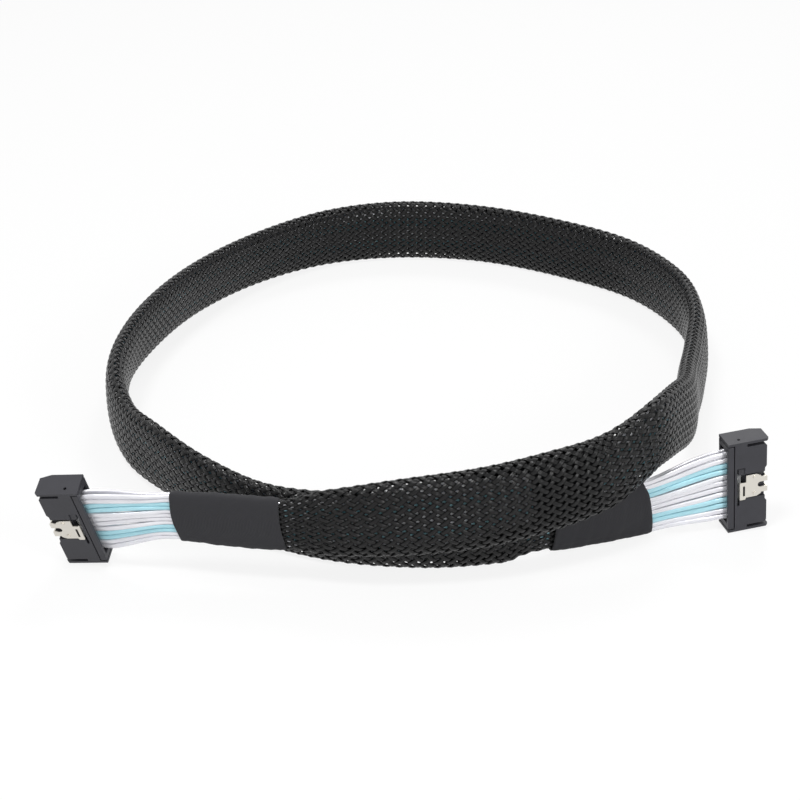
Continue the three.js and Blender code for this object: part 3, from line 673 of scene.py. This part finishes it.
def cloth_tape():
    """Acetate cloth tape: a matte black weave, pulled on the bias so that fine lines run across it."""
    material, tree, shader = new_material("cloth_tape")
    place = add_node(tree, "ShaderNodeUVMap", {"uv_map": "wrap"})
    split = add_node(tree, "ShaderNodeSeparateXYZ", inputs={0: place.outputs[0]})
    waves = []
    turn = 2 * math.pi / WEAVE_SPACING
    for way in (1, -1):
        a = add_node(tree, "ShaderNodeMath", {"operation": "MULTIPLY"}, {0: split.outputs[0], 1: turn})
        b = add_node(
            tree,
            "ShaderNodeMath",
            {"operation": "MULTIPLY_ADD"},
            {0: split.outputs[1], 1: way * WEAVE_BIAS * turn, 2: a.outputs[0]},
        )
        waves.append(add_node(tree, "ShaderNodeMath", {"operation": "SINE"}, {0: b.outputs[0]}))
    weave = add_node(
        tree,
        "ShaderNodeMath",
        {"operation": "MULTIPLY_ADD"},
        {0: waves[1].outputs[0], 1: 0.15, 2: waves[0].outputs[0]},
    )
    spot = add_node(tree, "ShaderNodeTexCoord")
    noise = add_node(
        tree,
        "ShaderNodeTexNoise",
        inputs={"Vector": spot.outputs["Object"], "Scale": per_metre(2.86), "Detail": 4.0},
    )
    height = add_node(
        tree,
        "ShaderNodeMath",
        {"operation": "MULTIPLY_ADD"},
        {0: noise.outputs["Fac"], 1: 1.2, 2: weave.outputs[0]},
    )
    bump = add_node(
        tree,
        "ShaderNodeBump",
        inputs={"Height": height.outputs[0], "Distance": 0.02 * MM, "Strength": 0.5},
    )
    # Partly random tone from the noise, partly painted shade: the base colour follows the weave's height,
    # darker in its hollows and lighter on its raised threads
    lit = add_node(
        tree,
        "ShaderNodeMapRange",
        inputs={"Value": height.outputs[0], "From Min": -1.0, "From Max": 2.2},
    )
    shade = add_node(
        tree,
        "ShaderNodeMix",
        {"data_type": "RGBA"},
        {"Factor": lit.outputs[0], 6: colour("#2b2b2e"), 7: colour("#313134")},
    )
    tree.links.new(shade.outputs[2], shader.inputs["Base Color"])
    tree.links.new(bump.outputs[0], shader.inputs["Normal"])
    shader.inputs["Roughness"].default_value = 0.82
    shader.inputs["Specular IOR Level"].default_value = 0.25
    shader.inputs["Sheen Weight"].default_value = 0.1
    shader.inputs["Sheen Roughness"].default_value = 0.4
    return material


def film(name, low, high, metallic, roughness):
    """A thin glossy film wound around a wire pair, with faint turns of the winding."""
    material, tree, shader = new_material(name)
    along = add_node(tree, "ShaderNodeAttribute", {"attribute_name": "along"})
    place = add_node(tree, "ShaderNodeTexCoord")
    noise = add_node(
        tree,
        "ShaderNodeTexNoise",
        inputs={"Vector": place.outputs["Object"], "Scale": per_metre(8.33), "Detail": 3.0},
    )
    winding = add_node(
        tree,
        "ShaderNodeMath",
        {"operation": "MULTIPLY_ADD"},
        {0: along.outputs["Fac"], 1: 2 * math.pi / FILM_TURN, 2: noise.outputs["Fac"]},
    )
    turns = add_node(tree, "ShaderNodeMath", {"operation": "SINE"}, {0: winding.outputs[0]})
    height = add_node(
        tree,
        "ShaderNodeMath",
        {"operation": "MULTIPLY_ADD"},
        {0: turns.outputs[0], 1: 0.3, 2: noise.outputs["Fac"]},
    )
    bump = add_node(
        tree,
        "ShaderNodeBump",
        inputs={"Height": height.outputs[0], "Distance": 0.08 * MM, "Strength": 0.5},
    )
    shade = add_node(
        tree,
        "ShaderNodeMix",
        {"data_type": "RGBA"},
        {"Factor": noise.outputs["Fac"], 6: colour(low), 7: colour(high)},
    )
    tree.links.new(shade.outputs[2], shader.inputs["Base Color"])
    tree.links.new(bump.outputs[0], shader.inputs["Normal"])
    shader.inputs["Metallic"].default_value = metallic
    shader.inputs["Roughness"].default_value = roughness
    return material


def moulded_lcp():
    """Glass-filled liquid crystal polymer: dark grey, with the fine grain of its mould."""
    material, tree, shader = new_material("moulded_lcp")
    place = add_node(tree, "ShaderNodeTexCoord")
    grain = add_node(
        tree,
        "ShaderNodeTexNoise",
        inputs={"Vector": place.outputs["Object"], "Scale": per_metre(0.167), "Detail": 3.0},
    )
    cloud = add_node(
        tree,
        "ShaderNodeTexNoise",
        inputs={"Vector": place.outputs["Object"], "Scale": per_metre(3.85), "Detail": 3.0},
    )
    bump = add_node(
        tree,
        "ShaderNodeBump",
        inputs={"Height": grain.outputs["Fac"], "Distance": 0.02 * MM, "Strength": 0.4},
    )
    shade = add_node(
        tree,
        "ShaderNodeMix",
        {"data_type": "RGBA"},
        {"Factor": cloud.outputs["Fac"], 6: colour("#2a2a2f"), 7: colour("#34343a")},
    )
    gloss = add_node(
        tree,
        "ShaderNodeMapRange",
        inputs={"Value": cloud.outputs["Fac"], "To Min": 0.42, "To Max": 0.58},
    )
    tree.links.new(shade.outputs[2], shader.inputs["Base Color"])
    tree.links.new(gloss.outputs[0], shader.inputs["Roughness"])
    tree.links.new(bump.outputs[0], shader.inputs["Normal"])
    shader.inputs["IOR"].default_value = 1.6
    shader.inputs["Specular IOR Level"].default_value = 0.3
    return material


def stamped_stainless():
    """Bright stainless strip, stamped and tumbled: pale, with a faint pebbled surface."""
    material, tree, shader = new_material("stamped_stainless")
    place = add_node(tree, "ShaderNodeTexCoord")
    grain = add_node(
        tree,
        "ShaderNodeTexNoise",
        inputs={"Vector": place.outputs["Object"], "Scale": per_metre(0.4), "Detail": 4.0},
    )
    bump = add_node(
        tree,
        "ShaderNodeBump",
        inputs={"Height": grain.outputs["Fac"], "Distance": 0.03 * MM, "Strength": 0.5},
    )
    gloss = add_node(
        tree,
        "ShaderNodeMapRange",
        inputs={"Value": grain.outputs["Fac"], "To Min": 0.3, "To Max": 0.5},
    )
    shader.inputs["Base Color"].default_value = colour("#d9d5cd")
    shader.inputs["Metallic"].default_value = 1
    tree.links.new(gloss.outputs[0], shader.inputs["Roughness"])
    tree.links.new(bump.outputs[0], shader.inputs["Normal"])
    return material


def solder_mask():
    """Green solder mask over glass-fibre board."""
    material, tree, shader = new_material("solder_mask")
    place = add_node(tree, "ShaderNodeTexCoord")
    noise = add_node(
        tree,
        "ShaderNodeTexNoise",
        inputs={"Vector": place.outputs["Object"], "Scale": per_metre(1.11)},
    )
    shade = add_node(
        tree,
        "ShaderNodeMix",
        {"data_type": "RGBA"},
        {"Factor": noise.outputs["Fac"], 6: colour("#174a2e"), 7: colour("#1f5a38")},
    )
    tree.links.new(shade.outputs[2], shader.inputs["Base Color"])
    shader.inputs["Roughness"].default_value = 0.35
    return material


def hot_melt():
    """Clear polyamide hot melt, cast around the wires: milky, wet-looking and uneven."""
    material, tree, shader = new_material("hot_melt")
    place = add_node(tree, "ShaderNodeTexCoord")
    noise = add_node(
        tree,
        "ShaderNodeTexNoise",
        inputs={"Vector": place.outputs["Object"], "Scale": per_metre(2), "Detail": 3.0},
    )
    bump = add_node(
        tree,
        "ShaderNodeBump",
        inputs={"Height": noise.outputs["Fac"], "Distance": 0.3 * MM},
    )
    shade = add_node(
        tree,
        "ShaderNodeMix",
        {"data_type": "RGBA"},
        {"Factor": noise.outputs["Fac"], 6: colour("#6d6e70"), 7: colour("#c9cbcc")},
    )
    tree.links.new(shade.outputs[2], shader.inputs["Base Color"])
    tree.links.new(bump.outputs[0], shader.inputs["Normal"])
    shader.inputs["Roughness"].default_value = 0.12
    shader.inputs["Transmission Weight"].default_value = 0.35
    return material


# The studio
FLOOR_REACH = 6000
FLOOR_DROP = 0.1  # just under the lowest strand
FLOOR_GLOW = 0.85  # the rest of the floor's white is the light that it catches, with the shadow
WORLD_LIGHT = 0.4
LAMP_TARGET = (0, 0, 15)


def shown(tree):
    """1 for what is seen directly, in gloss or through something clear, and 0 for light that falls."""
    seen = add_node(tree, "ShaderNodeLightPath")
    either = add_node(
        tree,
        "ShaderNodeMath",
        {"operation": "MAXIMUM"},
        {0: seen.outputs["Is Camera Ray"], 1: seen.outputs["Is Glossy Ray"]},
    )
    through = add_node(
        tree,
        "ShaderNodeMath",
        {"operation": "MAXIMUM"},
        {0: either.outputs[0], 1: seen.outputs["Is Transmission Ray"]},
    )
    return through.outputs[0]


def add_stage():
    """A plain white floor that keeps a soft shadow."""
    material, tree, shader = new_material("white_floor")
    shader.inputs["Base Color"].default_value = colour("#f4f4f4")
    shader.inputs["Roughness"].default_value = 0.9
    glow = add_node(tree, "ShaderNodeEmission", inputs={"Color": (1, 1, 1, 1), "Strength": 1.0})
    share = add_node(tree, "ShaderNodeMath", {"operation": "MULTIPLY"}, {0: shown(tree), 1: FLOOR_GLOW})
    both = add_node(
        tree,
        "ShaderNodeMixShader",
        inputs={0: share.outputs[0], 1: shader.outputs[0], 2: glow.outputs[0]},
    )
    output = next(n for n in tree.nodes if n.type == "OUTPUT_MATERIAL")
    tree.links.new(both.outputs[0], output.inputs["Surface"])
    corners = ((-1, -1), (1, -1), (1, 1), (-1, 1))
    points = [(x * FLOOR_REACH, y * FLOOR_REACH, -FLOOR_DROP) for x, y in corners]
    floor = link_mesh("floor", points, [(0, 1, 2, 3)], material, smooth=False)


def add_lamp(name, place, power, size):
    """A square lamp that faces the cable: its place in millimetres, power in watts and size in metres."""
    lamp = bpy.data.lights.new(name, "AREA")
    lamp.energy = power
    lamp.size = size
    made = bpy.data.objects.new(name, lamp)
    bpy.context.scene.collection.objects.link(made)
    made.location = Vector(place) * MM
    aim = (Vector(LAMP_TARGET) - Vector(place)).normalized()
    made.rotation_euler = aim.to_track_quat("-Z", "Y").to_euler()


def add_world():
    """White where it is seen, and a soft even light where it falls."""
    world = bpy.data.worlds.new("studio")
    bpy.context.scene.world = world
    world.use_nodes = True
    tree = world.node_tree
    tree.nodes.clear()
    light = add_node(
        tree,
        "ShaderNodeBackground",
        inputs={"Color": (1, 1, 1, 1), "Strength": WORLD_LIGHT},
    )
    white = add_node(tree, "ShaderNodeBackground", inputs={"Color": (1, 1, 1, 1), "Strength": 1.0})
    both = add_node(
        tree, "ShaderNodeMixShader", inputs={0: shown(tree), 1: light.outputs[0], 2: white.outputs[0]}
    )
    add_node(tree, "ShaderNodeOutputWorld", inputs={"Surface": both.outputs[0]})


add_camera()
materials = {
    "braid": pet_braid(),
    "tape": cloth_tape(),
    "silver_foil": film("silver_foil", "#d2d2d9", "#f2f2f6", 0.3, 0.25),
    "blue_film": film("blue_film", "#98cedb", "#bce6f0", 0.1, 0.25),
    "housing": moulded_lcp(),
    "steel": stamped_stainless(),
    "board": solder_mask(),
    "melt": hot_melt(),
}

braid = add_braid(materials["braid"])
for row in (1, -1):
    for index in range(WIRES_PER_ROW):
        add_wire(row, index, materials)
left_tape = add_tape(
    "left_tape", "left_tape_wrap", TAPE_START, SLEEVE_MOUTH, True, LEFT_TAPE_SIZES,
    left_cuts, left_seam, materials["tape"],
)
right_tape = add_tape(
    "right_tape", "right_tape_wrap", SLEEVE_END, TAPE_END, False, RIGHT_TAPE_SIZES,
    right_cuts, right_seam, materials["tape"],
)

inner_tape = rounded(
    "inner_tape_wrap", "inner_tape", 0.1, materials["tape"], segments=1
)
for end in ("left", "right"):
    rounded(f"{end}_housing", f"{end}_plug_housing", 0.12, materials["housing"])
    rounded(f"{end}_rear_cover", f"{end}_plug_rear_cover", 0.12, materials["housing"])
    rounded(f"{end}_paddle_card", f"{end}_plug_card", 0.05, materials["board"], segments=1)
    rounded(f"{end}_wire_anchor", f"{end}_plug_melt", 0.3, materials["melt"])
    latch = f"{end}_latch"
    rounded(latch, f"{end}_plug_latch", 0.06, materials["steel"], body=latch)

add_stage()
add_world()
add_lamp("key", (-250, -450, 1000), 6.0, 0.22)
add_lamp("fill", (500, -700, 420), 2.4, 0.22)
add_lamp("back", (150, 600, 900), 3.2, 0.3)
bpy.context.scene.view_settings.view_transform = "Standard"
